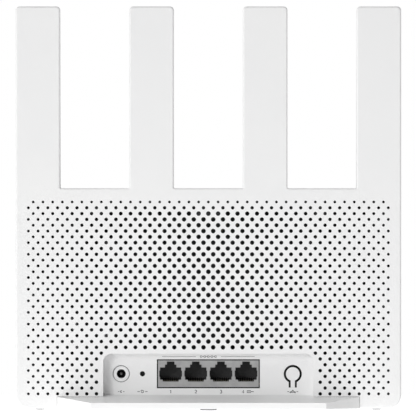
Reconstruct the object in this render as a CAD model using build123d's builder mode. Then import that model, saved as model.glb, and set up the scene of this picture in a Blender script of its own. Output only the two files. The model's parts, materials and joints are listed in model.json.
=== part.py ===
"""Upright wireless router: a perforated slab with four blade antennas on a rear stand.

Millimetres. +Z is up and +Y is the rear, where the ports are. The floor is z = 0, and the
origin is under the middle of the router's plan.
"""

from build123d import *
import math
import os

# ---- Driving dimensions: slab and blades ----
WIDTH = 214.0
BODY_HEIGHT = 122.3  # underside of the shells to the shoulders between the blades
OVERALL_HEIGHT = 223.2  # underside of the shells to the blade tips
BLADE_WIDTH = 24.75
FOOT_HEIGHT = 0.7  # rubber pads between the floor and the shells
CORNER_R = 7.5
TIP_R = 2.2
SHOULDER_R = 0.7
SLAB_DEPTH = 38.0  # at the floor
TIP_DEPTH = 9.0  # at the blade tips
FRONT_R = 1100.0  # the front is one long bow from floor to tips
STAND_REACH = 24.0  # how far the stand runs out behind the slab

# ---- Shells ----
SHELL = 2.0
RIM_DEPTH = 4.5  # depth of the rear cover's side walls
SEAM = 0.2  # shadow line between the two covers
LIP = 1.0
LIP_GAP = 0.1
LIP_REACH = 2.0
REAR_EDGE_R = 1.0
FRONT_EDGE_R = 1.5

# ---- Vent holes: staggered rows ----
VENT_ROWS = 34
VENT_COLUMNS = 37  # in the even rows; the rows between have one more
VENT_PITCH = 5.4
VENT_ROW_PITCH = 3.227
VENT_TOP = 114.7  # top row above the underside of the shells
VENT_MIDDLE_D = 2.58
VENT_SIDE_D = 1.58
VENT_SIDE_X = 100.0
VENT_TOP_ROWS_D = {0: 1.5, 1: 1.9}
VENT_MARGIN = 1.5

# ---- Port bay in the rear cover ----
BAY_HALF = 58.4
BAY_TOP = 30.5
BAY_R = 4.5
BAY_DEPTH = 8.0
PORT_LINE = 19.25  # height of the row of ports above the underside of the shells

# ---- Stand ----
STAND_HALF = 83.9  # half width where it leaves the slab
STAND_END_HALF = 65.3  # half width at its rear edge
STAND_ROOT = 6.5  # height of its ramp at the slab
STAND_END = 3.5  # height of its rear edge
SOLE = 2.2  # plate that closes the slab underneath
SOLE_FRONT_Y = -26.0
FIT = 0.15  # gap round the pieces that drop into the covers
STAND_SCREWS_X = 55.0
STAND_SCREWS_Y = (-7.5, -23.5)

# ---- Main board ----
BOARD_Y = -17.0  # its rear face, which the jacks stand on
BOARD = 1.6
BOARD_HALF = 92.0
BOARD_BOTTOM = 5.0
BOARD_TOP = 107.0
PILOT_R = 1.4
SCREW_R = 1.3

# ---- Jacks and switches ----
PORTS = 4
PORT_PITCH = 13.97
JACK_WIDTH = 55.9
JACK_HEIGHT = 14.8
JACK_GAP = 0.65  # round the jacks in the bay wall
JACK_SETBACK = 0.4  # face of the jacks behind the bay wall
SHEET = 0.25
SOCKET_DEPTH = 12.0
DC_X = 48.4
DC_RING = (4.2, 4.85)  # radii of the groove round the inlet
DC_RING_DEPTH = 0.8
DC_HOLE_R = 2.5
RESET_X = 36.6
RESET_HOLE_R = 1.45
MESH_X = -46.9
MESH_LINE = 19.15
MESH_SLIT_R = 5.02
MESH_DISC_R = 3.8
MESH_SLOT = 4.5
MESH_NECK = 2.35
MESH_ROOT = 11.6  # height of the neck's bending line
MESH_GAP = 0.05
SWITCH_SIDE = 6.0
SWITCH_HEIGHT = 3.5
PLUNGER_R = 1.7
PLUNGER_GAP = 0.1
PLUNGER_FOOT = 1.4  # its foot above the board
RESET_TIP_SETBACK = 2.0  # behind the inner face of the bay wall

# ---- Antennas ----
AERIAL_WIDTH = 14.0
AERIAL = 0.8
AERIAL_BOTTOM = 128.0
AERIAL_TOP = 217.0
COAX_R = 0.565

# ---- Levels worked out from the dimensions above ----
BASE_Z = FOOT_HEIGHT
TOP_Z = BASE_Z + OVERALL_HEIGHT
FRONT_Y = -(SLAB_DEPTH + STAND_REACH) / 2
REAR_Y = FRONT_Y + SLAB_DEPTH
END_Y = REAR_Y + STAND_REACH
PANEL_Y = REAR_Y - SHELL  # inner face of the rear panel
SEAM_Y = REAR_Y - RIM_DEPTH
BAY_Y = REAR_Y - BAY_DEPTH  # outer face of the bay's back wall
BAY_INNER_Y = BAY_Y - SHELL
BLADE_PITCH = (WIDTH - BLADE_WIDTH) / 3
BLADE_XS = [(i - 1.5) * BLADE_PITCH for i in range(4)]
PORT_XS = [(i - 1.5) * PORT_PITCH for i in range(PORTS)]
PORT_Z = BASE_Z + PORT_LINE
BAY_TOP_Z = BASE_Z + BAY_TOP
BOARD_FRONT_Y = BOARD_Y - BOARD
RAMP_SLOPE = (STAND_ROOT - STAND_END) / STAND_REACH

# The bow of the front, as a circle in the side view through the front foot and the tips.
BOW_RISE = SLAB_DEPTH - TIP_DEPTH
BOW_CHORD = math.hypot(BOW_RISE, OVERALL_HEIGHT)
BOW_SET = math.sqrt(FRONT_R**2 - (BOW_CHORD / 2) ** 2)
BOW_CENTRE_Y = FRONT_Y + BOW_RISE / 2 + BOW_SET * OVERALL_HEIGHT / BOW_CHORD
BOW_CENTRE_Z = BASE_Z + OVERALL_HEIGHT / 2 - BOW_SET * BOW_RISE / BOW_CHORD

# Screw posts under the panel: (x, height above the shells' underside, radius).
POSTS = [(70.0, 76.0, 5.0), (-81.0, 79.4, 4.0), (-29.6, 51.6, 3.5), (67.6, 19.4, 6.2), (-67.6, 11.7, 3.6)]
POST_SPOTS = [(x, BASE_Z + height) for x, height, _ in POSTS]
# Catch blocks behind the panel: (x, height, width, height of block).
CATCHES = [
    (0.0, 111.8, 13.0, 9.0),
    (61.7, 109.8, 11.5, 6.0),
    (-61.7, 109.8, 11.5, 6.0),
    (98.7, 103.4, 6.5, 12.0),
    (-98.7, 103.4, 6.5, 12.0),
    (98.7, 58.2, 6.5, 12.5),
    (-98.7, 58.2, 6.5, 12.5),
    (93.3, 14.6, 16.5, 15.5),
    (-93.3, 17.7, 16.5, 21.5),
]
CATCH_DEPTH = 3.0


def upright(y):
    """Plane at depth y with X across and Z up; its extrusions run to the front."""
    return Plane.XZ.offset(-y)


def slab_outline(inset=0.0):
    """The slab with its four blades, seen from behind, every edge moved in by inset."""
    with BuildSketch(mode=Mode.PRIVATE) as outline:
        with Locations((0, BASE_Z + BODY_HEIGHT / 2)):
            Rectangle(WIDTH - 2 * inset, BODY_HEIGHT - 2 * inset)
        with Locations(*[(x, BASE_Z + OVERALL_HEIGHT / 2) for x in BLADE_XS]):
            Rectangle(BLADE_WIDTH - 2 * inset, OVERALL_HEIGHT - 2 * inset)
        fillet(outline.vertices().group_by(Axis.Y)[0], CORNER_R - inset)
        fillet(outline.vertices().group_by(Axis.Y)[-1], max(TIP_R - inset, 0.3))
        shoulder_z = BASE_Z + BODY_HEIGHT - inset
        shoulders = outline.vertices().filter_by_position(Axis.Y, shoulder_z - 0.1, shoulder_z + 0.1)
        fillet(shoulders, SHOULDER_R + inset)
    return outline.sketch


def bow(inset=0.0):
    """Side view of everything behind the front's bow, moved in by inset."""
    with BuildSketch(mode=Mode.PRIVATE) as disc:
        with Locations((BOW_CENTRE_Y, BOW_CENTRE_Z)):
            Circle(FRONT_R - inset)
    return disc.sketch


def ramp_z(y):
    """Height of the stand's ramp, which also floors the port bay."""
    return BASE_Z + STAND_ROOT + (REAR_Y - y) * RAMP_SLOPE


def vent_radius(x, row):
    """Holes narrow evenly from the middle to the sides, and in the two top rows."""
    diameter = VENT_MIDDLE_D - (VENT_MIDDLE_D - VENT_SIDE_D) * abs(x) / VENT_SIDE_X
    return round(min(diameter, VENT_TOP_ROWS_D.get(row, diameter)) / 2, 3)


def clear_of_bay(x, z):
    """Whether a hole here leaves a strip of panel between it and the port bay."""
    beside = max(abs(x) - (BAY_HALF - BAY_R), 0)
    above = max(z - (BAY_TOP_Z - BAY_R), 0)
    return math.hypot(beside, above) - BAY_R > VENT_MARGIN


def vents():
    """Hole centres by radius."""
    holes = {}
    for row in range(VENT_ROWS):
        z = BASE_Z + VENT_TOP - row * VENT_ROW_PITCH
        columns = VENT_COLUMNS + row % 2
        for column in range(columns):
            x = (column - (columns - 1) / 2) * VENT_PITCH
            if clear_of_bay(x, z):
                holes.setdefault(vent_radius(x, row), []).append((x, z))
    return holes


def bay_outline(grow, bottom_z):
    """The port bay seen from behind, its sides and top moved out by grow."""
    top_z = BAY_TOP_Z + grow
    with BuildSketch(mode=Mode.PRIVATE) as outline:
        with Locations((0, (top_z + bottom_z) / 2)):
            Rectangle(2 * (BAY_HALF + grow), top_z - bottom_z)
        fillet(outline.vertices().group_by(Axis.Y)[-1], BAY_R + grow)
    return outline.sketch


def keyhole(disc_r, neck, bottom_z):
    """Disc with a straight neck below it, for the mesh button and the opening round it."""
    centre_z = BASE_Z + MESH_LINE
    with BuildSketch(mode=Mode.PRIVATE) as outline:
        with Locations((MESH_X, centre_z)):
            Circle(disc_r)
        with Locations((MESH_X, (centre_z + bottom_z) / 2)):
            Rectangle(neck, centre_z - bottom_z)
    return outline.sketch


def save(part, name):
    """Label a finished piece and write its STEP file."""
    part.label = name
    export_step(part, f"parts/{name}.step")


os.makedirs("parts", exist_ok=True)

# ---- Rear cover: perforated panel, rear halves of the blades, port bay and posts ----
SOLE_TOP_Z = BASE_Z + SOLE
BLOCK_WIDTH = 9.0
BLOCK_TOP = 12.0
POST_PILOT = 9.0

with BuildPart() as rear_cover:
    with BuildSketch(upright(REAR_Y)):
        add(slab_outline())
    extrude(amount=RIM_DEPTH)
    fillet(rear_cover.faces().sort_by(Axis.Y)[-1].outer_wire().edges(), REAR_EDGE_R)
    with BuildSketch(upright(PANEL_Y)):
        add(slab_outline(SHELL + LIP_GAP + LIP))
    extrude(amount=RIM_DEPTH, mode=Mode.SUBTRACT)
    with BuildSketch(upright(SEAM_Y)):
        add(slab_outline(SHELL + LIP_GAP))
        add(slab_outline(SHELL + LIP_GAP + LIP), mode=Mode.SUBTRACT)
    extrude(amount=LIP_REACH)
    # opening for the stand's sole and ramp
    with BuildSketch(upright(REAR_Y)):
        with Locations((0, (BASE_Z + STAND_ROOT + FIT) / 2)):
            Rectangle(2 * (STAND_HALF + FIT), BASE_Z + STAND_ROOT + FIT)
    extrude(amount=RIM_DEPTH + LIP_REACH, mode=Mode.SUBTRACT)
    # vent holes
    with BuildSketch(upright(REAR_Y)):
        for radius, spots in vents().items():
            with Locations(*spots):
                Circle(radius)
    extrude(amount=SHELL, mode=Mode.SUBTRACT)
    # port bay
    with BuildSketch(upright(PANEL_Y)):
        add(bay_outline(SHELL, SOLE_TOP_Z + FIT))
    extrude(amount=BAY_DEPTH)
    with BuildSketch(upright(REAR_Y)):
        add(bay_outline(0, BASE_Z))
    extrude(amount=BAY_DEPTH, mode=Mode.SUBTRACT)
    with BuildSketch(upright(BAY_Y)):
        with Locations((0, PORT_Z)):
            Rectangle(JACK_WIDTH + 2 * JACK_GAP, JACK_HEIGHT + 2 * JACK_GAP)
        with Locations((DC_X, PORT_Z)):
            Circle(DC_HOLE_R)
        with Locations((RESET_X, PORT_Z)):
            Circle(RESET_HOLE_R)
        add(keyhole(MESH_SLIT_R, MESH_SLOT, BASE_Z + MESH_ROOT))
    extrude(amount=SHELL, mode=Mode.SUBTRACT)
    with BuildSketch(upright(BAY_Y)):
        with Locations((DC_X, PORT_Z)):
            Circle(DC_RING[1])
            Circle(DC_RING[0], mode=Mode.SUBTRACT)
    extrude(amount=DC_RING_DEPTH, mode=Mode.SUBTRACT)
    # posts for the main board, catch blocks, and blocks for the stand's screws
    with BuildSketch(upright(PANEL_Y)):
        for x, height, radius in POSTS:
            with Locations((x, BASE_Z + height)):
                Circle(radius)
    extrude(amount=PANEL_Y - BOARD_Y)
    with BuildSketch(upright(PANEL_Y)):
        for x, height, width, tall in CATCHES:
            with Locations((x, BASE_Z + height)):
                Rectangle(width, tall)
    extrude(amount=CATCH_DEPTH)
    with BuildSketch(upright(BAY_INNER_Y)):
        with Locations(*[(side * STAND_SCREWS_X, (SOLE_TOP_Z + FIT + BLOCK_TOP) / 2) for side in (-1, 1)]):
            Rectangle(BLOCK_WIDTH, BLOCK_TOP - SOLE_TOP_Z - FIT)
    extrude(amount=BLOCK_WIDTH)
    with BuildSketch(upright(BOARD_Y)):
        with Locations(*POST_SPOTS):
            Circle(PILOT_R)
    extrude(amount=-POST_PILOT, mode=Mode.SUBTRACT)
    with BuildSketch(Plane.XY.offset(BASE_Z)):
        with Locations(*[(side * STAND_SCREWS_X, STAND_SCREWS_Y[0]) for side in (-1, 1)]):
            Circle(PILOT_R)
    extrude(amount=BLOCK_TOP - SHELL, mode=Mode.SUBTRACT)
save(rear_cover.part, "rear_cover")

# ---- Front cover: bowed shell that carries the front halves of the blades ----
LED_XS = (-5.0, 5.0)
LED_Z = BASE_Z + 22.0
LIGHT_R = 1.1
GUIDE_Y = -24.0  # rear face of the light guide's bridge
GUIDE_POST_X = 10.5
FRONT_BLOCK_Y = -20.0

with BuildPart() as front_core:
    with BuildSketch(upright(SEAM_Y + SEAM)):
        add(slab_outline(SHELL))
    extrude(amount=SLAB_DEPTH)
    with BuildSketch(Plane.YZ):
        add(bow(SHELL))
    extrude(amount=WIDTH, both=True, mode=Mode.INTERSECT)

with BuildPart() as front_cover:
    with BuildSketch(upright(SEAM_Y - SEAM)):
        add(slab_outline())
    extrude(amount=SLAB_DEPTH)
    with BuildSketch(Plane.YZ):
        add(bow())
    extrude(amount=WIDTH, both=True, mode=Mode.INTERSECT)
    bowed = front_cover.faces().filter_by(GeomType.CYLINDER).sort_by(SortBy.AREA)[-1]
    fillet(bowed.outer_wire().edges(), FRONT_EDGE_R)
    add(front_core.part, mode=Mode.SUBTRACT)
    # opening for the sole
    with BuildSketch(Plane.XY.offset(BASE_Z)):
        with Locations((0, (SEAM_Y + SOLE_FRONT_Y - FIT) / 2)):
            Rectangle(2 * (STAND_HALF + FIT), SEAM_Y - SOLE_FRONT_Y + FIT)
    extrude(amount=SHELL, mode=Mode.SUBTRACT)
    # blocks for the stand's front screws, and posts for the light guide
    block_front_y = FRONT_Y + SHELL / 2
    with BuildSketch(Plane.XY.offset(SOLE_TOP_Z + FIT)):
        with Locations(*[(side * STAND_SCREWS_X, (block_front_y + FRONT_BLOCK_Y) / 2) for side in (-1, 1)]):
            Rectangle(BLOCK_WIDTH, FRONT_BLOCK_Y - block_front_y)
    extrude(amount=BLOCK_TOP - SOLE_TOP_Z - FIT)
    with BuildSketch(Plane.XY.offset(BASE_Z)):
        with Locations(*[(side * STAND_SCREWS_X, STAND_SCREWS_Y[1]) for side in (-1, 1)]):
            Circle(PILOT_R)
    extrude(amount=BLOCK_TOP - SHELL, mode=Mode.SUBTRACT)
    with BuildSketch(upright(GUIDE_Y - 1.5)):
        with Locations(*[(side * GUIDE_POST_X, LED_Z) for side in (-1, 1)]):
            Circle(1.5)
    extrude(amount=3.5)
    with BuildSketch(upright(GUIDE_Y)):
        with Locations(*[(x, LED_Z) for x in LED_XS]):
            Circle(LIGHT_R + FIT)
    extrude(amount=SLAB_DEPTH, mode=Mode.SUBTRACT)
save(front_cover.part, "front_cover")

# ---- Stand: sole under the slab, ramp and rear flange ----
ROOT_Y = PANEL_Y + FIT
BAY_FLOOR_Y = BAY_Y + FIT
CORE_ROOF = 2.0
CORE_YS = (REAR_Y + 3, END_Y - 2.5)
CORE_XS = (9.0, 59.0)
STAND_EDGE_R = 0.5

with BuildPart() as stand:
    with BuildSketch(Plane.XY.offset(BASE_Z)):
        with BuildLine():
            Polyline(
                (-STAND_HALF, ROOT_Y),
                (-STAND_HALF, REAR_Y),
                (-STAND_END_HALF, END_Y),
                (STAND_END_HALF, END_Y),
                (STAND_HALF, REAR_Y),
                (STAND_HALF, ROOT_Y),
                close=True,
            )
        make_face()
    extrude(amount=STAND_ROOT)
    with BuildSketch(Plane.XY.offset(BASE_Z)):
        with Locations((0, (BAY_FLOOR_Y + REAR_Y) / 2)):
            Rectangle(2 * (BAY_HALF - FIT), REAR_Y - BAY_FLOOR_Y)
    extrude(amount=BAY_TOP)
    with BuildSketch(Plane.YZ):
        with BuildLine():
            Polyline(
                (BAY_Y, ramp_z(BAY_Y)),
                (END_Y, ramp_z(END_Y)),
                (END_Y, BAY_TOP_Z + SHELL),
                (BAY_Y, BAY_TOP_Z + SHELL),
                close=True,
            )
        make_face()
    extrude(amount=WIDTH, both=True, mode=Mode.SUBTRACT)
    flange_corners = stand.edges().filter_by(Axis.Z).filter_by_position(Axis.Y, REAR_Y + 1, END_Y + 1)
    fillet(flange_corners, STAND_EDGE_R)
    with BuildSketch(Plane.XY.offset(BASE_Z)):
        with Locations((0, (REAR_Y + SOLE_FRONT_Y) / 2)):
            Rectangle(2 * STAND_HALF, REAR_Y - SOLE_FRONT_Y)
    extrude(amount=SOLE)
    # hollows under the ramp, each side of the middle
    for start in (CORE_XS[0], -CORE_XS[1]):
        with BuildSketch(Plane.YZ.offset(start)):
            with BuildLine():
                Polyline(
                    (CORE_YS[0], 0),
                    (CORE_YS[1], 0),
                    (CORE_YS[1], ramp_z(CORE_YS[1]) - CORE_ROOF),
                    (CORE_YS[0], ramp_z(CORE_YS[0]) - CORE_ROOF),
                    close=True,
                )
            make_face()
        extrude(amount=CORE_XS[1] - CORE_XS[0], mode=Mode.SUBTRACT)
    for y in STAND_SCREWS_Y:
        for side in (-1, 1):
            with Locations(Plane((side * STAND_SCREWS_X, y, BASE_Z), z_dir=(0, 0, -1))):
                CounterSinkHole(SCREW_R + 0.2, 2.9, SOLE)
save(stand.part, "stand")

# ---- Rubber pads ----
SIDE_PAD_X = 93.5
SIDE_PAD_WIDTH = 5.0
SIDE_PAD_LENGTH = 22.0
SIDE_PAD_Y = -15.0
REAR_PAD_R = 4.7
REAR_PAD_Y = END_Y - 6.5
PAD_EDGE_R = 0.4


def side_pad(x):
    """Long pad under one end of the slab."""
    with BuildPart() as pad:
        with BuildSketch(Plane.XY):
            with Locations((x, SIDE_PAD_Y)):
                SlotOverall(SIDE_PAD_LENGTH, SIDE_PAD_WIDTH, rotation=90)
        extrude(amount=FOOT_HEIGHT)
        fillet(pad.faces().sort_by(Axis.Z)[0].edges(), PAD_EDGE_R)
    return pad.part


save(side_pad(SIDE_PAD_X), "left_foot_pad")
save(side_pad(-SIDE_PAD_X), "right_foot_pad")

with BuildPart() as rear_foot_pad:
    with BuildSketch(Plane.XY):
        with Locations((0, REAR_PAD_Y)):
            Circle(REAR_PAD_R)
    extrude(amount=FOOT_HEIGHT)
    fillet(rear_foot_pad.faces().sort_by(Axis.Z)[0].edges(), PAD_EDGE_R)
save(rear_foot_pad.part, "rear_foot_pad")

# ---- Screws ----
HEAD_R = 2.5
HEAD = 1.6
CONE_R = 2.7
CONE = 1.5
CROSS = (3.0, 0.6)  # arm length and width of the cross recess
CROSS_DEPTH = 0.8
STAND_SHANK = 7.0

with BuildPart() as stand_screws:
    for y in STAND_SCREWS_Y:
        for side in (-1, 1):
            with BuildSketch(Plane((side * STAND_SCREWS_X, y, BASE_Z + 0.1))):
                Circle(CONE_R)
            with BuildSketch(Plane((side * STAND_SCREWS_X, y, BASE_Z + 0.1 + CONE))):
                Circle(SCREW_R)
            loft()
            with BuildSketch(Plane((side * STAND_SCREWS_X, y, BASE_Z + 0.1 + CONE))):
                Circle(SCREW_R)
            extrude(amount=STAND_SHANK)
            with BuildSketch(Plane((side * STAND_SCREWS_X, y, BASE_Z))):
                Rectangle(*CROSS)
                Rectangle(*reversed(CROSS))
            extrude(amount=CROSS_DEPTH, mode=Mode.SUBTRACT)
save(stand_screws.part, "stand_screws")

with BuildPart() as board_screws:
    with BuildSketch(upright(BOARD_FRONT_Y)):
        with Locations(*POST_SPOTS):
            Circle(HEAD_R)
    extrude(amount=HEAD)
    fillet(board_screws.faces().filter_by(Plane.XZ).sort_by(Axis.Y)[:len(POSTS)].edges(), 0.6)
    with BuildSketch(upright(BOARD_FRONT_Y)):
        with Locations(*POST_SPOTS):
            Circle(SCREW_R)
    extrude(amount=-BOARD - POST_PILOT + 1)
    with BuildSketch(upright(BOARD_FRONT_Y - HEAD)):
        with Locations(*POST_SPOTS):
            Rectangle(*CROSS)
            Rectangle(*reversed(CROSS))
    extrude(amount=-CROSS_DEPTH, mode=Mode.SUBTRACT)
save(board_screws.part, "board_screws")

# ---- Main board ----
with BuildPart() as main_board:
    with BuildSketch(upright(BOARD_Y)) as board_outline:
        with Locations((0, BASE_Z + (BOARD_BOTTOM + BOARD_TOP) / 2)):
            Rectangle(2 * BOARD_HALF, BOARD_TOP - BOARD_BOTTOM)
        fillet(board_outline.vertices(), 3)
        with Locations(*POST_SPOTS):
            Circle(SCREW_R + 0.3, mode=Mode.SUBTRACT)
    extrude(amount=BOARD)
save(main_board.part, "main_board")


def on_board(spots, width, tall, high, corner=0.0):
    """Equal blocks on the rear face of the main board, at (x, height) spots."""
    with BuildPart() as blocks:
        with BuildSketch(upright(BOARD_Y)):
            with Locations(*[(x, BASE_Z + z) for x, z in spots]):
                if corner:
                    RectangleRounded(width, tall, corner)
                else:
                    Rectangle(width, tall)
        extrude(amount=-high)
    return blocks.part


# ---- Chips and power parts ----
SHIELD = 3.0
CPU_SHIELD = (29.0, 73.0, 46.0, 38.0)  # x, height, width, tall
WIFI_SHIELD = (-28.0, 75.0, 44.0, 34.0)

save(on_board([(30.0, 71.0)], 19.0, 19.0, 1.4), "processor")
save(on_board([(14.0, 80.0)], 9.0, 13.0, 1.1), "memory_chip")
save(on_board([(-38.0, 76.0), (-18.0, 76.0)], 10.0, 10.0, 0.9), "radio_chips")
save(on_board([(0.0, 45.0)], 14.0, 14.0, 0.9), "network_chip")
save(on_board([(46.0, 45.0)], 8.0, 6.0, 0.9), "flash_chip")
save(on_board([(84.0, 36.0), (84.0, 47.0), (84.0, 58.0)], 7.3, 7.3, 3.0, 1.2), "power_inductors")
save(on_board([(x, 33.0) for x in PORT_XS], 12.6, 6.6, 4.8, 0.4), "line_transformers")

CAN_R = 4.0
CAN_SPOTS = [(74.0, BASE_Z + 36.0), (74.0, BASE_Z + 47.0)]

with BuildPart() as power_capacitors:
    with BuildSketch(upright(BOARD_Y)):
        with Locations(*CAN_SPOTS):
            Circle(CAN_R)
    extrude(amount=-11.5)
    fillet(power_capacitors.edges().filter_by(GeomType.CIRCLE), 0.5)
save(power_capacitors.part, "power_capacitors")


def shield_can(x, height, width, tall):
    """Pressed sheet cover over the chips at (x, height)."""
    with BuildPart() as can:
        with BuildSketch(upright(BOARD_Y)):
            with Locations((x, BASE_Z + height)):
                RectangleRounded(width, tall, 1.0)
        extrude(amount=-SHIELD)
        with BuildSketch(upright(BOARD_Y)):
            with Locations((x, BASE_Z + height)):
                RectangleRounded(width - 2 * SHEET, tall - 2 * SHEET, 1.0 - SHEET)
        extrude(amount=SHEET - SHIELD, mode=Mode.SUBTRACT)
    return can.part


save(shield_can(*CPU_SHIELD), "processor_shield")
save(shield_can(*WIFI_SHIELD), "radio_shield")

# ---- Heat sink on its pads and pillars ----
PAD = 0.5
SINK_Y = BOARD_Y + SHIELD + PAD  # the face that lies on the pads
SINK_PLATE = 2.0
SINK_HALF = 61.0
SINK_LOW = BASE_Z + 36.5
SINK_HIGH = BASE_Z + 95.0
FINS = 20
FIN = 1.2
FIN_HIGH = 9.5
PILLAR_SPOTS = [(x, BASE_Z + z) for x in (-56.0, 56.0) for z in (41.5, 90.0)]
PILLAR_R = 2.5
SINK_POST = POST_SPOTS[2]  # the one post that stands inside the heat sink's outline

with BuildPart() as thermal_pads:
    for x, height, width, tall in (CPU_SHIELD, WIFI_SHIELD):
        with BuildSketch(upright(BOARD_Y + SHIELD)):
            with Locations((x, BASE_Z + height)):
                Rectangle(width - 6, tall - 6)
        extrude(amount=-PAD)
save(thermal_pads.part, "thermal_pads")

with BuildPart() as sink_pillars:
    with BuildSketch(upright(BOARD_Y)):
        with Locations(*PILLAR_SPOTS):
            RegularPolygon(PILLAR_R, 6)
            Circle(PILOT_R, mode=Mode.SUBTRACT)
    extrude(amount=-SHIELD - PAD)
save(sink_pillars.part, "sink_pillars")

with BuildPart() as heat_sink:
    sink_middle = (0, (SINK_LOW + SINK_HIGH) / 2)
    with BuildSketch(upright(SINK_Y)):
        with Locations(sink_middle):
            Rectangle(2 * SINK_HALF, SINK_HIGH - SINK_LOW)
    extrude(amount=-SINK_PLATE)
    with BuildSketch(upright(SINK_Y + SINK_PLATE)):
        with Locations(sink_middle):
            with GridLocations((2 * SINK_HALF - FIN) / (FINS - 1), 1, FINS, 1):
                Rectangle(FIN, SINK_HIGH - SINK_LOW)
    extrude(amount=-FIN_HIGH)
    with BuildSketch(upright(SINK_Y + SINK_PLATE)):
        with Locations(*PILLAR_SPOTS):
            Rectangle(9, 9)
    extrude(amount=-FIN_HIGH, mode=Mode.SUBTRACT)
    with BuildSketch(upright(SINK_Y)):
        with Locations(*PILLAR_SPOTS):
            Circle(SCREW_R + 0.3)
        with Locations(SINK_POST):
            Circle(POSTS[2][2] + 1)
    extrude(amount=-SINK_PLATE - FIN_HIGH, mode=Mode.SUBTRACT)
save(heat_sink.part, "heat_sink")

with BuildPart() as sink_screws:
    with BuildSketch(upright(SINK_Y + SINK_PLATE)):
        with Locations(*PILLAR_SPOTS):
            Circle(HEAD_R)
    extrude(amount=-HEAD)
    with BuildSketch(upright(SINK_Y + SINK_PLATE)):
        with Locations(*PILLAR_SPOTS):
            Circle(SCREW_R)
    extrude(amount=SINK_PLATE + SHIELD)
    with BuildSketch(upright(SINK_Y + SINK_PLATE + HEAD)):
        with Locations(*PILLAR_SPOTS):
            Rectangle(*CROSS)
            Rectangle(*reversed(CROSS))
    extrude(amount=CROSS_DEPTH, mode=Mode.SUBTRACT)
save(sink_screws.part, "sink_screws")

# ---- Network jacks: four sockets in one block ----
FACE_Y = BAY_Y - JACK_SETBACK
HOUSING_Y = FACE_Y - SHEET - 0.05


# One socket mouth as steps of (width, lowest, highest) about the port line: the plug's body, its
# side reliefs, two latch steps above and the contact lip below.
MOUTH_STEPS = [(11.8, -3.3, 3.5), (12.6, -1.6, 1.8), (6.4, 3.0, 5.1), (4.25, 5.0, 6.8), (8.8, -4.3, -3.0)]


def sockets(grow=0.0):
    """The four socket mouths, every edge moved out by grow."""
    with BuildSketch(mode=Mode.PRIVATE) as mouths:
        for x in PORT_XS:
            for width, low, high in MOUTH_STEPS:
                with Locations((x, PORT_Z + (low + high) / 2)):
                    Rectangle(width + 2 * grow, high - low + 2 * grow)
    return mouths.sketch


with BuildPart() as jack_shield:
    with BuildSketch(upright(FACE_Y)):
        with Locations((0, PORT_Z)):
            Rectangle(JACK_WIDTH, JACK_HEIGHT)
    extrude(amount=FACE_Y - BOARD_Y)
    with BuildSketch(upright(FACE_Y - SHEET)):
        with Locations((0, PORT_Z)):
            Rectangle(JACK_WIDTH - 2 * SHEET, JACK_HEIGHT - 2 * SHEET)
    extrude(amount=FACE_Y - BOARD_Y, mode=Mode.SUBTRACT)
    with BuildSketch(upright(FACE_Y)):
        add(sockets())
    extrude(amount=SHEET, mode=Mode.SUBTRACT)
save(jack_shield.part, "network_jack_shield")

with BuildPart() as jack_housing:
    with BuildSketch(upright(HOUSING_Y)):
        with Locations((0, PORT_Z)):
            Rectangle(JACK_WIDTH - 2 * SHEET - 0.1, JACK_HEIGHT - 2 * SHEET - 0.1)
    extrude(amount=HOUSING_Y - BOARD_Y)
    with BuildSketch(upright(HOUSING_Y)):
        add(sockets(0.1))
    extrude(amount=SOCKET_DEPTH, mode=Mode.SUBTRACT)
save(jack_housing.part, "network_jack_housing")

CONTACTS = 8
CONTACT_PITCH = 1.02
CONTACT = 0.42
CONTACT_FRONT_Y = HOUSING_Y - 1.2
CONTACT_BACK_Y = HOUSING_Y - SOCKET_DEPTH
CONTACT_FRONT_DROP = 4.2  # underside of a contact's front end below the port line
CONTACT_BACK_DROP = 2.7
CONTACT_THICK = 0.45

with BuildPart() as jack_contacts:
    for port_x in PORT_XS:
        for i in range(CONTACTS):
            start = port_x + (i - (CONTACTS - 1) / 2) * CONTACT_PITCH - CONTACT / 2
            with BuildSketch(Plane.YZ.offset(start)):
                with BuildLine():
                    Polyline(
                        (CONTACT_FRONT_Y, PORT_Z - CONTACT_FRONT_DROP),
                        (CONTACT_BACK_Y, PORT_Z - CONTACT_BACK_DROP),
                        (CONTACT_BACK_Y, PORT_Z - CONTACT_BACK_DROP + CONTACT_THICK),
                        (CONTACT_FRONT_Y, PORT_Z - CONTACT_FRONT_DROP + CONTACT_THICK),
                        close=True,
                    )
                make_face()
            extrude(amount=CONTACT)
save(jack_contacts.part, "network_jack_contacts")

# ---- Power inlet: barrel, centre pin and side spring ----
BARREL_R = 4.6
BARREL_BORE_R = 2.45
BARREL_Y = BAY_INNER_Y - 0.1
BARREL_FLOOR_Y = BOARD_Y + 2.5
BARREL_FOOT = 11.0  # square foot on the board
BARREL_FOOT_HIGH = 5.0
PIN_R = 0.83
PIN_SETBACK = 1.5

with BuildPart() as power_inlet_housing:
    with BuildSketch(upright(BARREL_Y)):
        with Locations((DC_X, PORT_Z)):
            Circle(BARREL_R)
    extrude(amount=BARREL_Y - BOARD_Y)
    with BuildSketch(upright(BOARD_Y)):
        with Locations((DC_X, PORT_Z)):
            RectangleRounded(BARREL_FOOT, BARREL_FOOT, 1)
    extrude(amount=-BARREL_FOOT_HIGH)
    with BuildSketch(upright(BARREL_Y)):
        with Locations((DC_X, PORT_Z)):
            Circle(BARREL_BORE_R)
    extrude(amount=BARREL_Y - BARREL_FLOOR_Y, mode=Mode.SUBTRACT)
save(power_inlet_housing.part, "power_inlet_housing")

with BuildPart() as power_inlet_pin:
    with BuildSketch(upright(BARREL_FLOOR_Y)):
        with Locations((DC_X, PORT_Z)):
            Circle(PIN_R)
    extrude(amount=-(BARREL_Y - BARREL_FLOOR_Y - PIN_SETBACK))
    fillet(power_inlet_pin.faces().sort_by(Axis.Y)[-1].edges(), 0.5)
save(power_inlet_pin.part, "power_inlet_pin")

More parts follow.
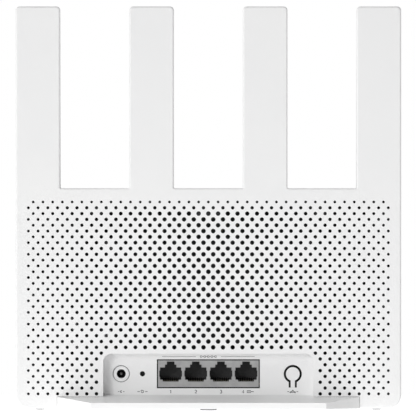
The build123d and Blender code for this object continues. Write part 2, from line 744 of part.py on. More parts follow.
with BuildPart() as power_inlet_spring:
    with BuildSketch(upright(BARREL_FLOOR_Y)):
        with Locations((DC_X, PORT_Z - BARREL_BORE_R + 0.25)):
            Rectangle(1.4, 0.2)
    extrude(amount=-8)
save(power_inlet_spring.part, "power_inlet_spring")


# ---- Push switches: a square body with a tall plunger ----
def switch_body(x, z):
    """Body of a push switch on the rear face of the main board, open for its plunger."""
    with BuildPart() as body:
        with BuildSketch(upright(BOARD_Y)):
            with Locations((x, z)):
                RectangleRounded(SWITCH_SIDE, SWITCH_SIDE, 0.5)
        extrude(amount=-SWITCH_HEIGHT)
        with BuildSketch(upright(BOARD_Y + SWITCH_HEIGHT)):
            with Locations((x, z)):
                Circle(PLUNGER_R + PLUNGER_GAP)
        extrude(amount=SWITCH_HEIGHT - 0.6, mode=Mode.SUBTRACT)
    return body.part


def switch_plunger(x, z, tip_y, tip_r):
    """Plunger from inside its switch body out to tip_y, stepped down to tip_r."""
    foot_y = BOARD_Y + PLUNGER_FOOT
    step_y = BOARD_Y + SWITCH_HEIGHT + 1.5
    with BuildPart() as plunger:
        with BuildSketch(upright(foot_y)):
            with Locations((x, z)):
                Circle(PLUNGER_R)
        extrude(amount=-(step_y - foot_y))
        with BuildSketch(upright(step_y)):
            with Locations((x, z)):
                Circle(tip_r)
        extrude(amount=-(tip_y - step_y))
        fillet(plunger.faces().sort_by(Axis.Y)[-1].edges(), 0.3)
    return plunger.part


MESH_Z = BASE_Z + MESH_LINE
MESH_BOSS_Y = BAY_INNER_Y - 1.0

save(switch_body(RESET_X, PORT_Z), "reset_switch_body")
save(switch_plunger(RESET_X, PORT_Z, BAY_INNER_Y - RESET_TIP_SETBACK, 1.1), "reset_plunger")
save(switch_body(MESH_X, MESH_Z), "mesh_switch_body")
save(switch_plunger(MESH_X, MESH_Z, MESH_BOSS_Y - FIT, 1.4), "mesh_switch_plunger")

# ---- Mesh button: disc on a flat neck that bends at its root ----
NECK = 1.2
MESH_BOSS_R = 1.3

with BuildPart() as mesh_button:
    with BuildSketch(upright(BAY_Y)):
        add(keyhole(MESH_DISC_R, MESH_NECK, BASE_Z + MESH_ROOT + MESH_GAP))
    extrude(amount=NECK)
    with BuildSketch(upright(BAY_Y)):
        with Locations((MESH_X, MESH_Z)):
            Circle(MESH_DISC_R)
    extrude(amount=SHELL)
    with BuildSketch(upright(BAY_INNER_Y)):
        with Locations((MESH_X, MESH_Z)):
            Circle(MESH_BOSS_R)
    extrude(amount=BAY_INNER_Y - MESH_BOSS_Y)
save(mesh_button.part, "mesh_button")

# ---- Status lights behind the front cover ----
LED = 0.7
LED_SIZE = (1.6, 1.2)
GUIDE_BRIDGE = 1.5

with BuildPart() as status_lights:
    with BuildSketch(upright(BOARD_FRONT_Y)):
        with Locations(*[(x, LED_Z) for x in LED_XS]):
            Rectangle(*LED_SIZE)
    extrude(amount=LED)
save(status_lights.part, "status_lights")

with BuildPart() as light_guide:
    with BuildSketch(upright(BOARD_FRONT_Y - LED - 0.2)):
        with Locations(*[(x, LED_Z) for x in LED_XS]):
            Circle(LIGHT_R)
    extrude(amount=SLAB_DEPTH)
    with BuildSketch(Plane.YZ):
        add(bow())
    extrude(amount=WIDTH, both=True, mode=Mode.INTERSECT)
    with BuildSketch(upright(GUIDE_Y)):
        with Locations((0, LED_Z)):
            RectangleRounded(2 * GUIDE_POST_X + 4, 4, 1)
    extrude(amount=GUIDE_BRIDGE)
save(light_guide.part, "light_guide")

# ---- Antennas: a strip board in each blade, fed by its own coaxial cable ----
SOCKET_XS = [-84.0, -28.0, 28.0, 84.0]
SOCKET_Z = BASE_Z + 97.0
SOCKET_R = 1.2
SOCKET_HIGH = 1.3
PLUG_LENGTH = 2.6
AERIAL_FRONT_Y = PANEL_Y - AERIAL
COAX_LOW_Y = BOARD_Y + SOCKET_HIGH - COAX_R
COAX_HIGH_Y = AERIAL_FRONT_Y - COAX_R - 0.05
COAX_START_Z = SOCKET_Z + PLUG_LENGTH


def coax(index):
    """Cable from its plug on the main board, up and across into its blade."""
    low_x, high_x = SOCKET_XS[index], BLADE_XS[index]
    route = [
        (low_x, COAX_LOW_Y, COAX_START_Z),
        (low_x, COAX_LOW_Y, COAX_START_Z + 9),
        (high_x, COAX_HIGH_Y, BASE_Z + 124),
        (high_x, COAX_HIGH_Y, BASE_Z + AERIAL_BOTTOM + 8),
    ]
    runs = [Vector(*b) - Vector(*a) for a, b in zip(route, route[1:])]
    bends = []
    for before, after in zip(runs, runs[1:]):
        turn = math.radians(before.get_angle(after))
        bends.append(0.45 * min(before.length, after.length) / math.tan(turn / 2))
    with BuildPart() as cable:
        with BuildLine() as path:
            FilletPolyline(*route, radius=bends)
        with BuildSketch(Plane(route[0], z_dir=(0, 0, 1))):
            Circle(COAX_R)
        sweep(path=path.wires()[0])
    print(f"coax {index + 1}: radii", [round(r, 1) for r in bends], end=", ")
    print("volume", round(cable.part.volume, 2), "section x length",
          round(math.pi * COAX_R**2 * path.wires()[0].length, 2))
    return cable.part


for index, blade_x in enumerate(BLADE_XS):
    with BuildPart() as aerial:
        with BuildSketch(upright(PANEL_Y)):
            with Locations((blade_x, BASE_Z + (AERIAL_BOTTOM + AERIAL_TOP) / 2)):
                RectangleRounded(AERIAL_WIDTH, AERIAL_TOP - AERIAL_BOTTOM, 1)
        extrude(amount=AERIAL)
    save(aerial.part, f"antenna_board_{index + 1}")
    save(coax(index), f"antenna_cable_{index + 1}")

with BuildPart() as antenna_plugs:
    with BuildSketch(upright(BOARD_Y)):
        with Locations(*[(x, SOCKET_Z) for x in SOCKET_XS]):
            Circle(SOCKET_R)
        with Locations(*[(x, SOCKET_Z + PLUG_LENGTH / 2) for x in SOCKET_XS]):
            Rectangle(SOCKET_R * 1.4, PLUG_LENGTH)
    extrude(amount=-SOCKET_HIGH)
save(antenna_plugs.part, "antenna_plugs")
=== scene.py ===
"""Looks of the upright wireless router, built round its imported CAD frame. Metres, +Z up, +Y the rear."""

import json
import math

import bmesh
import bpy
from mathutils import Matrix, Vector


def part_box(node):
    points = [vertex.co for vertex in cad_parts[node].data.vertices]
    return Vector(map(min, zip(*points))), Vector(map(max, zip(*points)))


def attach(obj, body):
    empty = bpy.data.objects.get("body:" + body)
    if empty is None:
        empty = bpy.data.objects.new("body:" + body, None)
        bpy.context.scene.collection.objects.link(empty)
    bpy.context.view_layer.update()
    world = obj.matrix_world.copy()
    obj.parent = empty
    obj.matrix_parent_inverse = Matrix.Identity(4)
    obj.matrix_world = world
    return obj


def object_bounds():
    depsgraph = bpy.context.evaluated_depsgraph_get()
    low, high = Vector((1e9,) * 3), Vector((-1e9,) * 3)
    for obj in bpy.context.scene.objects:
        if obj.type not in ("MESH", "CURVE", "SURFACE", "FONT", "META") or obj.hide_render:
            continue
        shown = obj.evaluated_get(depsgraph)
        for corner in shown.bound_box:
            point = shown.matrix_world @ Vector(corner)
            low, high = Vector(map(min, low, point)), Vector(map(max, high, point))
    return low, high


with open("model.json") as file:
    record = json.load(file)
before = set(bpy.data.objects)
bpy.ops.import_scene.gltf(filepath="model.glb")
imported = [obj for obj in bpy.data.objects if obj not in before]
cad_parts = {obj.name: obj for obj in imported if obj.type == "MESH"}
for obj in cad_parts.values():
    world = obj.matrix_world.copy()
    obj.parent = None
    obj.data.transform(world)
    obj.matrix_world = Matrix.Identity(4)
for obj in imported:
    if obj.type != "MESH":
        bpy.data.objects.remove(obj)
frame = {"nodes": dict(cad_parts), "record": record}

CAD_LOW, CAD_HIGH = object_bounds()
NODES = frame["nodes"]
SCENE = bpy.context.scene
MM = 0.001


# ---- Camera and light -------------------------------------------------------------------

# Square on to the rear from far away, with the router filling the frame.
CAMERA_DISTANCE = 8.0
CAMERA_HEIGHT = 112.05 * MM
FRAME_WIDTH = 230.88 * MM  # what the camera takes in at the rear panel
ASIDE = 0.19425 * MM  # the router stands a touch right of the middle
SENSOR = 36.0
FAR_CLIP = 40.0

# Light in the world: where it comes from, how tightly it is gathered, how strong it is.
SOFT_BOX = ((0.61, 0.35, 0.71), 5.0, 1.45)
PALE_WALL = ((0.0, -1.0, 0.0), 2.0, 0.6)
SKY = 0.06
FLOOR_GLOW = 0.78
FLOOR_HALF = 0.6

KEY_PLACE = (2.03, 3.38, 0.79)
KEY_TARGET = (0.0, 0.0, 0.1)
KEY_SIZE = (1.3, 1.3)
KEY_POWER = 46.0


def aim(obj, target):
    """Turn an object's -Z towards a point."""
    obj.rotation_euler = (Vector(target) - obj.location).to_track_quat("-Z", "Y").to_euler()


def make_camera():
    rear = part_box("rear_cover")[1].y
    data = bpy.data.cameras.new("camera")
    data.sensor_width = SENSOR
    data.lens = SENSOR * CAMERA_DISTANCE / FRAME_WIDTH
    data.clip_end = FAR_CLIP
    camera = bpy.data.objects.new("camera", data)
    SCENE.collection.objects.link(camera)
    camera.location = (ASIDE, rear + CAMERA_DISTANCE, CAMERA_HEIGHT)
    aim(camera, (ASIDE, 0.0, CAMERA_HEIGHT))
    SCENE.camera = camera


def area_light(name, location, size, power):
    data = bpy.data.lights.new(name, "AREA")
    data.shape = "RECTANGLE"
    data.size, data.size_y = size
    data.energy = power
    light = bpy.data.objects.new(name, data)
    SCENE.collection.objects.link(light)
    light.location = location
    aim(light, KEY_TARGET)


def make_world():
    """A soft studio: a big light high on the camera's left, a pale wall beyond the router, and light
    off the floor. The camera itself sees plain white."""
    world = bpy.data.worlds.new("studio")
    SCENE.world = world
    world.use_nodes = True
    tree = world.node_tree
    background = tree.nodes["Background"]
    background.inputs["Color"].default_value = (1.0, 1.0, 1.0, 1.0)

    def math_node(operation, a, b):
        node = tree.nodes.new("ShaderNodeMath")
        node.operation = operation
        for slot, value in enumerate((a, b)):
            if isinstance(value, float):
                node.inputs[slot].default_value = value
            else:
                tree.links.new(value, node.inputs[slot])
        return node.outputs[0]

    coordinates = tree.nodes.new("ShaderNodeTexCoord")
    split = tree.nodes.new("ShaderNodeSeparateXYZ")
    tree.links.new(coordinates.outputs["Generated"], split.inputs[0])

    def lobe(direction, sharpness, strength):
        """Light that comes mostly from one direction."""
        parts = [math_node("MULTIPLY", part, share) for part, share in zip(split.outputs, direction)]
        toward = math_node("ADD", math_node("ADD", parts[0], parts[1]), parts[2])
        shaped = math_node("POWER", math_node("MAXIMUM", toward, 0.0), sharpness)
        return math_node("MULTIPLY", shaped, strength)

    above = math_node("GREATER_THAN", split.outputs["Z"], 0.0)
    below = math_node("SUBTRACT", 1.0, above)
    sky = math_node("ADD", math_node("ADD", lobe(*SOFT_BOX), lobe(*PALE_WALL)), SKY)
    studio = math_node("ADD", math_node("MULTIPLY", sky, above), math_node("MULTIPLY", below, FLOOR_GLOW))
    path = tree.nodes.new("ShaderNodeLightPath")
    seen = path.outputs["Is Camera Ray"]
    unseen = math_node("SUBTRACT", 1.0, seen)
    strength = math_node("ADD", seen, math_node("MULTIPLY", unseen, studio))
    tree.links.new(strength, background.inputs["Strength"])


def make_floor():
    """A pale floor that glows a little, as a lit white sweep does."""
    mesh = bpy.data.meshes.new("floor")
    sides = ((-1, -1), (1, -1), (1, 1), (-1, 1))
    mesh.from_pydata([(x * FLOOR_HALF, y * FLOOR_HALF, 0) for x, y in sides], [], [(0, 1, 2, 3)])
    floor = bpy.data.objects.new("floor", mesh)
    SCENE.collection.objects.link(floor)
    material = bpy.data.materials.new("floor")
    material.use_nodes = True
    shader = material.node_tree.nodes["Principled BSDF"]
    shader.inputs["Base Color"].default_value = (0.85, 0.85, 0.85, 1.0)
    shader.inputs["Roughness"].default_value = 0.8
    shader.inputs["Emission Color"].default_value = (1.0, 1.0, 1.0, 1.0)
    shader.inputs["Emission Strength"].default_value = FLOOR_GLOW
    floor.data.materials.append(material)


# ---- Materials --------------------------------------------------------------------------

NOISE_SPAN = (0.3, 0.7)  # nearly all of a noise texture's values lie between these


class Finish:
    """One procedural material, built up round its Principled shader. Texture scales are per metre."""

    def __init__(self, name, color, roughness, metallic=0.0, **sockets):
        self.material = bpy.data.materials.new(name)
        self.material.use_nodes = True
        self.tree = self.material.node_tree
        self.shader = self.tree.nodes["Principled BSDF"]
        self.color = color
        self.set(self.shader, {"Base Color": (*color, 1.0), "Roughness": roughness, "Metallic": metallic})
        self.set(self.shader, {key.replace("_", " "): value for key, value in sockets.items()})
        self.where = self.tree.nodes.new("ShaderNodeTexCoord")
        self.normal = None

    @staticmethod
    def set(node, values):
        """Set a node's inputs by name."""
        for socket, value in values.items():
            node.inputs[socket].default_value = value

    def link(self, source, target):
        self.tree.links.new(source, target)

    def place(self, stretch=(1.0, 1.0, 1.0)):
        """The object's own coordinates, scaled along each axis."""
        mapping = self.tree.nodes.new("ShaderNodeMapping")
        mapping.inputs["Scale"].default_value = stretch
        self.link(self.where.outputs["Object"], mapping.inputs["Vector"])
        return mapping.outputs["Vector"]

    def noise(self, scale, detail=2.0, stretch=(1.0, 1.0, 1.0)):
        node = self.tree.nodes.new("ShaderNodeTexNoise")
        self.set(node, {"Scale": scale, "Detail": detail})
        self.link(self.place(stretch), node.inputs["Vector"])
        return node.outputs["Fac"]

    def cells(self, scale, output):
        """Square cells: the distance to each one's own point, or each one's own colour."""
        node = self.tree.nodes.new("ShaderNodeTexVoronoi")
        node.distance = "CHEBYCHEV"
        self.set(node, {"Scale": scale})
        self.link(self.place(), node.inputs["Vector"])
        return node.outputs[output]

    def axis(self, name, space="Object"):
        """One coordinate of the place, or of the surface normal."""
        split = self.tree.nodes.new("ShaderNodeSeparateXYZ")
        self.link(self.where.outputs[space], split.inputs[0])
        return split.outputs[name]

    def math(self, operation, *values):
        """One math node, on numbers or on what other nodes give."""
        node = self.tree.nodes.new("ShaderNodeMath")
        node.operation = operation
        for slot, value in enumerate(values):
            if isinstance(value, (int, float)):
                node.inputs[slot].default_value = value
            else:
                self.link(value, node.inputs[slot])
        return node.outputs[0]

    def between(self, value, low, high):
        """1 where a value lies between two others."""
        above, below = self.math("GREATER_THAN", value, low), self.math("LESS_THAN", value, high)
        return self.math("MULTIPLY", above, below)

    def spread(self, value, low, high, to_low=0.0, to_high=1.0):
        """Stretch one range of a value onto another."""
        node = self.tree.nodes.new("ShaderNodeMapRange")
        self.set(node, {"From Min": low, "From Max": high, "To Min": to_low, "To Max": to_high})
        self.link(value, node.inputs["Value"])
        return node.outputs["Result"]

    def blend(self, factor, first, second):
        """Colour that goes from the first to the second as the factor goes from 0 to 1."""
        node = self.tree.nodes.new("ShaderNodeMix")
        node.data_type = "RGBA"
        slots = [i for i in node.inputs if i.type == "RGBA"]
        for socket, color in zip(slots, (first, second)):
            if isinstance(color, tuple):
                socket.default_value = (*color, 1.0)
            else:
                self.link(color, socket)
        self.link(factor, node.inputs["Factor"])
        return next(o for o in node.outputs if o.type == "RGBA")

    def paint(self, color):
        self.link(color, self.shader.inputs["Base Color"])

    def vary(self, value, low, high):
        """Let a noise swing the roughness between low and high."""
        self.link(self.spread(value, *NOISE_SPAN, low, high), self.shader.inputs["Roughness"])

    def tint(self, value, change):
        """Lighten and darken the base colour by up to a share of itself."""
        darker = tuple(c * (1 - change) for c in self.color)
        lighter = tuple(min(c * (1 + change), 1.0) for c in self.color)
        self.paint(self.blend(self.spread(value, *NOISE_SPAN), darker, lighter))

    def bump(self, height, depth, strength=1.0):
        """Add relief of a depth in metres to what is there already."""
        node = self.tree.nodes.new("ShaderNodeBump")
        self.set(node, {"Distance": depth, "Strength": strength})
        self.link(height, node.inputs["Height"])
        if self.normal is not None:
            self.link(self.normal, node.inputs["Normal"])
        self.normal = node.outputs["Normal"]
        self.link(self.normal, self.shader.inputs["Normal"])


# the covers, for the painted shade inside them
WALL = 2.5 * MM
HALF_WIDTH = CAD_HIGH[0]
INNER_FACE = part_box("rear_cover")[1].y - 1.95 * MM
SLAB_TOP = 123.0 * MM
BAY_HALF = 61.0 * MM
BAY_TOP = 33.8 * MM


def shell():
    """White moulded cover: spark-eroded grain, a slow swing in gloss, a trace of dust at the foot, and
    painted shade on its inner faces behind the vents.
    """
    finish = Finish("shell", (0.865, 0.865, 0.865), 0.5, Specular_IOR_Level=0.35)
    grain = finish.noise(3800, 3.0)
    finish.bump(grain, 0.000012, 0.6)
    finish.bump(finish.noise(60, 2.0), 0.00006, 0.25)
    finish.vary(finish.noise(45, 4.0), 0.42, 0.6)
    clouds = finish.spread(finish.noise(22, 3.0), *NOISE_SPAN)
    clean = finish.blend(clouds, (0.858, 0.859, 0.861), (0.872, 0.872, 0.871))
    speck = finish.spread(finish.noise(900, 4.0), 0.7, 0.78)
    low = finish.spread(finish.axis("Z"), 0.0, 0.03, 1.0, 0.15)
    dust = finish.math("MULTIPLY", finish.math("MULTIPLY", speck, low), 0.35)
    dusty = finish.blend(dust, clean, (0.62, 0.6, 0.57))
    # paints the inner faces near black: painted shade behind the vents
    finish.paint(finish.blend(painted_vent_shade(finish), dusty, (0.022, 0.022, 0.023)))
    return finish.material


def painted_vent_shade(finish):
    """1 on the rearward faces inside the covers, where near-black painted shade makes the vents read dark.
    """
    across = finish.math("ABSOLUTE", finish.axis("X"))
    depth, height = finish.axis("Y"), finish.axis("Z")
    within = finish.math("MULTIPLY", finish.math("LESS_THAN", across, HALF_WIDTH - WALL),
                         finish.between(height, WALL, SLAB_TOP - WALL))
    bay = finish.math("MULTIPLY", finish.math("LESS_THAN", across, BAY_HALF),
                      finish.math("LESS_THAN", height, BAY_TOP))
    inside = finish.math("MULTIPLY", within, finish.math("LESS_THAN", depth, INNER_FACE))
    inside = finish.math("MULTIPLY", inside, finish.math("SUBTRACT", 1.0, bay))
    return finish.math("MULTIPLY", inside, finish.math("GREATER_THAN", finish.axis("Y", "Normal"), 0.5))


def rubber():
    """Grey rubber, matte, with a rubbed paler patch here and there."""
    finish = Finish("rubber", (0.17, 0.17, 0.172), 0.85, Specular_IOR_Level=0.3)
    finish.bump(finish.noise(5200, 4.0), 0.00003, 0.8)
    finish.tint(finish.noise(350, 5.0), 0.22)
    finish.vary(finish.noise(600, 3.0), 0.75, 0.95)
    return finish.material


COPPER_RUNS = 900.0  # per metre
COPPER_SHARE = 0.45  # how much of the pitch of the runs is copper


def board():
    """Black solder mask: copper runs show through, dull via rings, bare glass fibre on cut edges."""
    finish = Finish("board", (0.012, 0.014, 0.013), 0.35)
    turn = finish.math("GREATER_THAN", finish.cells(90, "Color"), 0.5)
    run_across = finish.math("FRACT", finish.math("MULTIPLY", finish.axis("Z"), COPPER_RUNS))
    run_up = finish.math("FRACT", finish.math("MULTIPLY", finish.axis("X"), COPPER_RUNS))
    across = finish.math("MULTIPLY", finish.math("LESS_THAN", run_across, COPPER_SHARE), turn)
    up = finish.math("MULTIPLY", finish.math("LESS_THAN", run_up, COPPER_SHARE),
                     finish.math("SUBTRACT", 1.0, turn))
    copper = finish.math("MAXIMUM", across, up)
    mask = finish.blend(copper, (0.010, 0.012, 0.011), (0.028, 0.034, 0.03))
    via = finish.between(finish.cells(260, "Distance"), 0.05, 0.13)
    face = finish.blend(via, mask, (0.16, 0.13, 0.07))
    flat = finish.math("GREATER_THAN", finish.math("ABSOLUTE", finish.axis("Y", "Normal")), 0.5)
    glass = finish.blend(finish.noise(2500, 2.0, (1, 0.1, 1)), (0.3, 0.26, 0.14), (0.45, 0.4, 0.24))
    finish.paint(finish.blend(flat, glass, face))
    finish.bump(copper, 0.00004, 0.7)
    finish.vary(finish.noise(500, 3.0), 0.28, 0.42)
    return finish.material


def heat_sink():
    """Extruded aluminium, black anodised: die lines run along the fins."""
    finish = Finish("heat_sink", (0.026, 0.026, 0.028), 0.42, Specular_IOR_Level=0.6)
    lines = finish.noise(2600, 2.0, (1, 1, 0.02))
    finish.bump(lines, 0.00002, 0.6)
    finish.tint(finish.noise(120, 4.0), 0.25)
    finish.vary(lines, 0.34, 0.52)
    return finish.material


def chip():
    """Moulded epoxy packages: sandy matte black."""
    finish = Finish("chip", (0.028, 0.028, 0.029), 0.62)
    finish.bump(finish.noise(6500, 3.0), 0.00002, 0.8)
    finish.tint(finish.noise(700, 4.0), 0.3)
    finish.vary(finish.noise(1500, 3.0), 0.52, 0.72)
    return finish.material


def capacitor():
    """Dark printed sleeve with a pale stripe, and a bare metal top."""
    finish = Finish("capacitor", (0.05, 0.052, 0.07), 0.35)
    top = finish.math("GREATER_THAN", finish.axis("Y", "Normal"), 0.8)
    stripe = finish.math("GREATER_THAN", finish.axis("X", "Normal"), 0.88)
    sleeve = finish.blend(stripe, (0.045, 0.048, 0.065), (0.6, 0.6, 0.6))
    cloud = finish.spread(finish.noise(1800, 3.0), *NOISE_SPAN)
    metal = finish.blend(cloud, (0.5, 0.5, 0.5), (0.66, 0.66, 0.66))
    finish.paint(finish.blend(top, sleeve, metal))
    finish.link(top, finish.shader.inputs["Metallic"])
    finish.bump(finish.noise(2200, 3.0), 0.00002, 0.5)
    finish.vary(finish.noise(900, 3.0), 0.28, 0.45)
    return finish.material


def shield_sheet():
    """Tin-plated sheet: rolled grain and a cloudy tarnish."""
    finish = Finish("shield_sheet", (0.62, 0.62, 0.6), 0.36, metallic=1.0)
    grain = finish.noise(2400, 3.0, (0.06, 1, 1))
    finish.bump(grain, 0.00001, 0.5)
    finish.tint(finish.noise(140, 4.0), 0.12)
    finish.vary(finish.noise(260, 5.0), 0.28, 0.5)
    return finish.material


def jack_sheet():
    """Dull nickel-plated sheet round the network jacks, rolled lengthways, with small scuffs."""
    finish = Finish("jack_sheet", (0.34, 0.34, 0.34), 0.55, metallic=0.75)
    grain = finish.noise(2600, 3.0, (0.05, 1, 1))
    finish.bump(grain, 0.000012, 0.5)
    scuff = finish.spread(finish.noise(1300, 5.0, (0.4, 1, 1)), 0.62, 0.74)
    cloud = finish.spread(finish.noise(180, 4.0), *NOISE_SPAN)
    plate = finish.blend(cloud, (0.36, 0.36, 0.362), (0.42, 0.42, 0.418))
    finish.paint(finish.blend(finish.math("MULTIPLY", scuff, 0.4), plate, (0.52, 0.52, 0.52)))
    finish.vary(finish.noise(420, 4.0), 0.46, 0.64)
    return finish.material


def thermal_pad():
    """Soft silicone pad, matte blue grey, with filler grains."""
    finish = Finish("thermal_pad", (0.34, 0.4, 0.5), 0.88)
    finish.bump(finish.noise(2600, 4.0), 0.00005, 0.7)
    finish.tint(finish.noise(1400, 4.0), 0.15)
    finish.vary(finish.noise(300, 2.0), 0.8, 0.95)
    return finish.material


def brass_parts():
    """Turned brass pillars: fine tool rings and a warm tarnish."""
    finish = Finish("brass_parts", (0.62, 0.44, 0.18), 0.3, metallic=1.0)
    finish.bump(finish.noise(5000, 1.0, (0.1, 1, 0.1)), 0.00001, 0.6)
    finish.tint(finish.noise(500, 4.0), 0.18)
    finish.vary(finish.noise(900, 3.0), 0.22, 0.42)
    return finish.material


def gold_contacts():
    """Thin gold flash over nickel, dull where plugs have rubbed it; both colours are darkened far below
    gold as painted shade for the contacts deep in the jack mouths.
    """
    finish = Finish("gold_contacts", (0.2, 0.18, 0.14), 0.45, metallic=0.8)
    worn = finish.spread(finish.noise(1600, 4.0), 0.4, 0.6)
    # both colours carry painted shade as well as the rubbed wear
    finish.paint(finish.blend(worn, (0.2, 0.175, 0.12), (0.15, 0.147, 0.14)))
    finish.bump(finish.noise(4200, 2.0), 0.000008, 0.5)
    finish.vary(finish.noise(1200, 3.0), 0.3, 0.5)
    return finish.material


def inlet_metal():
    """Nickel-plated pin and spring, drawn lengthways."""
    finish = Finish("inlet_metal", (0.3, 0.3, 0.295), 0.4, metallic=1.0)
    drawn = finish.noise(4200, 2.0, (1, 0.04, 1))
    finish.bump(drawn, 0.000008, 0.5)
    finish.tint(finish.noise(700, 4.0), 0.15)
    finish.vary(drawn, 0.26, 0.45)
    return finish.material


def black_plastic():
    """Glass-filled black plastic of the jacks, inlet and switches: fine grain, greyish swirls."""
    finish = Finish("black_plastic", (0.02, 0.02, 0.021), 0.48)
    finish.bump(finish.noise(4800, 3.0), 0.00002, 0.7)
    finish.tint(finish.noise(420, 5.0), 0.35)
    finish.vary(finish.noise(800, 3.0), 0.4, 0.6)
    return finish.material


def screw_steel():
    """Zinc-plated steel, slightly iridescent grey with handling marks."""
    finish = Finish("screw_steel", (0.46, 0.47, 0.48), 0.34, metallic=1.0)
    tone = finish.spread(finish.noise(800, 4.0), 0.35, 0.65)
    finish.paint(finish.blend(tone, (0.4, 0.41, 0.46), (0.55, 0.53, 0.48)))
    finish.bump(finish.noise(3600, 3.0), 0.00001, 0.6)
    finish.vary(finish.noise(1500, 4.0), 0.26, 0.46)
    return finish.material


def light():
    """Light chips: pale phosphor under a clear top."""
    finish = Finish("light", (0.8, 0.78, 0.62), 0.2)
    phosphor = finish.spread(finish.noise(2800, 3.0), 0.35, 0.65)
    finish.paint(finish.blend(phosphor, (0.78, 0.72, 0.4), (0.86, 0.85, 0.76)))
    finish.bump(finish.noise(1800, 1.0), 0.00001, 0.4)
    finish.vary(finish.noise(900, 2.0), 0.14, 0.28)
    return finish.material


def clear_plastic():
    """Frosted acrylic light guide."""
    finish = Finish("clear_plastic", (0.84, 0.86, 0.87), 0.3, Transmission_Weight=0.7, IOR=1.49)
    finish.bump(finish.noise(3000, 3.0), 0.00002, 0.6)
    finish.tint(finish.noise(400, 3.0), 0.05)
    finish.vary(finish.noise(700, 3.0), 0.24, 0.42)
    return finish.material


def antenna_board():
    """Dark green strip board: a copper feed up the middle and two arms near its top, mask over all."""
    finish = Finish("antenna_board", (0.015, 0.05, 0.028), 0.36)
    x, z = finish.axis("X", "Generated"), finish.axis("Z", "Generated")
    feed = finish.math("MULTIPLY", finish.between(x, 0.45, 0.55), finish.math("LESS_THAN", z, 0.62))
    reach = finish.between(x, 0.12, 0.88)
    gap = finish.between(x, 0.38, 0.62)
    arms = finish.math("MULTIPLY", finish.between(z, 0.6, 0.93), finish.math("SUBTRACT", 1.0, gap))
    arms = finish.math("MULTIPLY", arms, reach)
    bridge = finish.math("MULTIPLY", finish.between(z, 0.58, 0.64), reach)
    copper = finish.math("MAXIMUM", finish.math("MAXIMUM", feed, arms), bridge)
    finish.paint(finish.blend(copper, (0.012, 0.045, 0.024), (0.06, 0.13, 0.05)))
    finish.bump(copper, 0.00004, 0.8)
    finish.bump(finish.noise(2600, 2.0), 0.00001, 0.5)
    finish.vary(finish.noise(500, 3.0), 0.28, 0.46)
    return finish.material


def cable():
    """Thin coaxial cable in a smooth black jacket."""
    finish = Finish("cable", (0.022, 0.022, 0.024), 0.34)
    finish.bump(finish.noise(2200, 2.0, (1, 1, 0.1)), 0.00002, 0.5)
    finish.tint(finish.noise(350, 4.0), 0.3)
    finish.vary(finish.noise(600, 3.0), 0.26, 0.45)
    return finish.material


def ink():
    """Grey pad-printed ink, a little uneven; it also colours the painted-shade ring in the inlet's groove.
    """
    finish = Finish("ink", (0.16, 0.16, 0.165), 0.6)
    finish.bump(finish.noise(6000, 3.0), 0.000006, 0.6)
    finish.tint(finish.noise(2600, 4.0), 0.18)
    finish.vary(finish.noise(1800, 3.0), 0.5, 0.7)
    return finish.material


SLOT_FINISHES = [
    shell, rubber, board, heat_sink, chip, capacitor, shield_sheet, jack_sheet, thermal_pad, brass_parts,
    gold_contacts, inlet_metal, black_plastic, screw_steel, light, clear_plastic, antenna_board, cable,
]


def dress_nodes():
    """Give every CAD node the finish of its slot in the record."""
    finishes = {make.__name__: make() for make in SLOT_FINISHES}
    for subpart in frame["record"]["subparts"]:
        for slot in NODES[subpart["node"]].material_slots:
            slot.material = finishes[subpart["material_slot"]]


# ---- Printed marks on the wall of the port bay ------------------------------------------

INK = 0.03 * MM  # its thickness
WALL_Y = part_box("mesh_button")[1].y  # outer face of the bay wall, flush with the button
PORTS_LOW, PORTS_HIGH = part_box("network_jack_shield")
PORTS = 4
PORT_PITCH = 13.97 * MM
ROW_Z = 10.05 * MM  # middle of the row of marks below the ports
RULE_Z = 29.5 * MM  # the ruled line above them
GROOVE = 0.7 * MM  # depth of the painted-shade line in the groove round the inlet
NUMBER_SHIFT = 1.7 * MM  # the last port's number makes room for the mark beside it

# widths of the lines
HAIR = 0.38 * MM
INLET_HAIR = 0.34 * MM
SQUARES_HAIR = 0.3 * MM
GROOVE_HAIR = 0.28 * MM
RULE_HAIR = 0.22 * MM

# in millimetres, as the lines of a mark are
RULE_NEAR = 7.0
RULE_FAR = 25.7
SQUARE_HALF = 0.42
GROOVE_RADIUS = 4.52
GROOVE_STEPS = 64
HUB_RADIUS = 0.28


def stroke(mesh, points, width, base):
    """Add one raised ink line with square ends along (x, z) points, on a surface at y = base."""
    sides = []
    for i, point in enumerate(points):
        before = Vector(points[max(i - 1, 0)])
        after = Vector(points[min(i + 1, len(points) - 1)])
        along = (after - before).normalized()
        across = Vector((-along.y, along.x)) * (width / 2)
        left, right = Vector(point) + across, Vector(point) - across
        section = ((left, 0.0), (left, INK), (right, INK), (right, 0.0))
        sides.append([mesh.verts.new((p.x, base + depth, p.y)) for p, depth in section])
    for first, second in zip(sides, sides[1:]):
        for i in range(4):
            mesh.faces.new((first[i], first[(i + 1) % 4], second[(i + 1) % 4], second[i]))
    mesh.faces.new(reversed(sides[0]))
    mesh.faces.new(sides[-1])


def arc(centre_x, centre_z, radius, start, end, steps=14):
    """Points along a circle, from one angle to another in degrees."""
    angles = [math.radians(start + (end - start) * i / steps) for i in range(steps + 1)]
    return [(centre_x + radius * math.cos(a), centre_z + radius * math.sin(a)) for a in angles]


def outline_box(left, low, right, high):
    return [(left, low), (right, low), (right, high), (left, high), (left, low)]


def dashes(near, far):
    """Two level dashes, one on each side of a mark."""
    return [[(-far, 0), (-near, 0)], [(near, 0), (far, 0)]]


def middle_x(low, high):
    """Middle of a box, across."""
    return (low.x + high.x) / 2


def port_x(index):
    """Middle of a network socket, counted from the left as seen from behind."""
    return ((PORTS - 1) / 2 - index) * PORT_PITCH


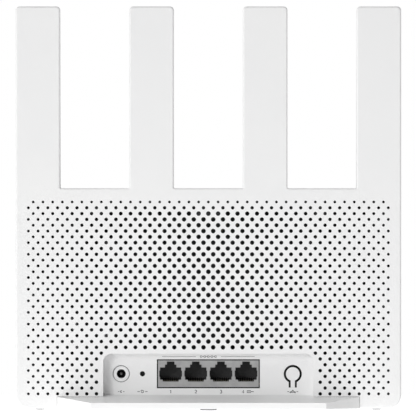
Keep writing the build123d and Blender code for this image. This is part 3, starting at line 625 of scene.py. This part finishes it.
def mark(name, lines, x, z, width=HAIR, base=WALL_Y):
    """One printed mark, or the painted-shade ring in the inlet's groove: ink lines given in millimetres
    about (x, z), seen from behind.
    """
    mesh = bmesh.new()
    for line in lines:
        stroke(mesh, [(x - px * MM, z + pz * MM) for px, pz in line], width, base)
    bmesh.ops.recalc_face_normals(mesh, faces=mesh.faces)
    data = bpy.data.meshes.new(name)
    mesh.to_mesh(data)
    mesh.free()
    data.materials.append(PRINT_AND_SHADE_INK)
    piece = bpy.data.objects.new(name, data)
    SCENE.collection.objects.link(piece)
    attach(piece, "router")


def numeral(digit):
    """Strokes of a numeral 1.7 mm high, about its middle."""
    if digit == 1:
        return [[(-0.35, 0.5), (0.1, 0.85), (0.1, -0.85)]]
    if digit == 2:
        return [arc(0, 0.35, 0.5, 160, -45) + [(-0.5, -0.78), (0.55, -0.78)]]
    if digit == 3:
        return [arc(0, 0.42, 0.42, 150, -80) + arc(0, -0.4, 0.48, 80, -150)]
    return [[(0.3, -0.85), (0.3, 0.85), (-0.55, -0.35), (0.6, -0.35)]]


def mark_ports():
    """Numbers under the sockets, a plug beside the last, and rules with linked squares above them."""
    for index in range(PORTS):
        x = port_x(index) + (NUMBER_SHIFT if index == PORTS - 1 else 0.0)
        mark(f"port_number_{index + 1}", numeral(index + 1), x, ROW_Z)
    for name, side in (("rule_left", 1), ("rule_right", -1)):
        rule = [(0, 0), (side * (RULE_FAR - RULE_NEAR), 0)]
        mark(name, [rule], side * RULE_FAR * MM, RULE_Z, RULE_HAIR)
    middles = (-4, -2, 0, 2, 4)
    squares = [outline_box(x - SQUARE_HALF, -SQUARE_HALF, x + SQUARE_HALF, SQUARE_HALF) for x in middles]
    links = [[(x + 0.5, 0), (x + 1.5, 0)] for x in middles[:-1]]
    mark("ports_mark", squares + links, 0.0, RULE_Z, SQUARES_HAIR)
    plug = [outline_box(0.6, -0.55, 2.6, 0.55), [(2.7, 0), (4.3, 0)]]
    contacts = [[(x, 0.1), (x, -0.1)] for x in (1.1, 1.6, 2.1)]
    mark("fast_port_mark", plug + contacts, port_x(PORTS - 1), ROW_Z)


def mark_inlet():
    """A broken ring round a short bar, and a dark ink ring drawn in the groove round the inlet as painted
    shade.
    """
    x = middle_x(*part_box("power_inlet_pin"))
    ring = [arc(0, 0, 0.5, 40, 320), [(-0.1, 0), (0.1, 0)]]
    mark("inlet_mark", ring + dashes(1.0, 1.8), x, ROW_Z, INLET_HAIR)
    # a dark ring standing in for the shade in the groove: painted shade, not print
    groove = [arc(0, 0, GROOVE_RADIUS, 0, 360, GROOVE_STEPS)]
    mark("inlet_groove_painted_shade", groove, x, (PORTS_LOW.z + PORTS_HIGH.z) / 2, GROOVE_HAIR, WALL_Y - GROOVE)


def mark_reset():
    """A turning arrow under the pinhole."""
    arrow = [arc(0, 0, 0.65, 130, -190), [(-1.0, 0.55), (-0.4, 0.5), (-0.45, 1.0)]]
    mark("reset_mark", arrow + dashes(1.5, 2.8), middle_x(*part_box("reset_plunger")), ROW_Z)


def mark_mesh():
    """Three linked hubs under the button."""
    hubs = [arc(x, z, HUB_RADIUS, 0, 360) for x, z in ((0, 0.5), (-1.3, -0.4), (1.3, -0.4))]
    links = [[(-1.05, -0.2), (-0.25, 0.35)], [(0.25, 0.35), (1.05, -0.2)], [(-0.95, -0.45), (0.95, -0.45)]]
    mark("mesh_mark", hubs + links + dashes(2.1, 3.0), middle_x(*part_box("mesh_button")), ROW_Z)


make_camera()
make_world()
make_floor()
area_light("key", KEY_PLACE, KEY_SIZE, KEY_POWER)
SCENE.view_settings.view_transform = "Standard"
dress_nodes()
PRINT_AND_SHADE_INK = ink()
mark_ports()
mark_inlet()
mark_reset()
mark_mesh()
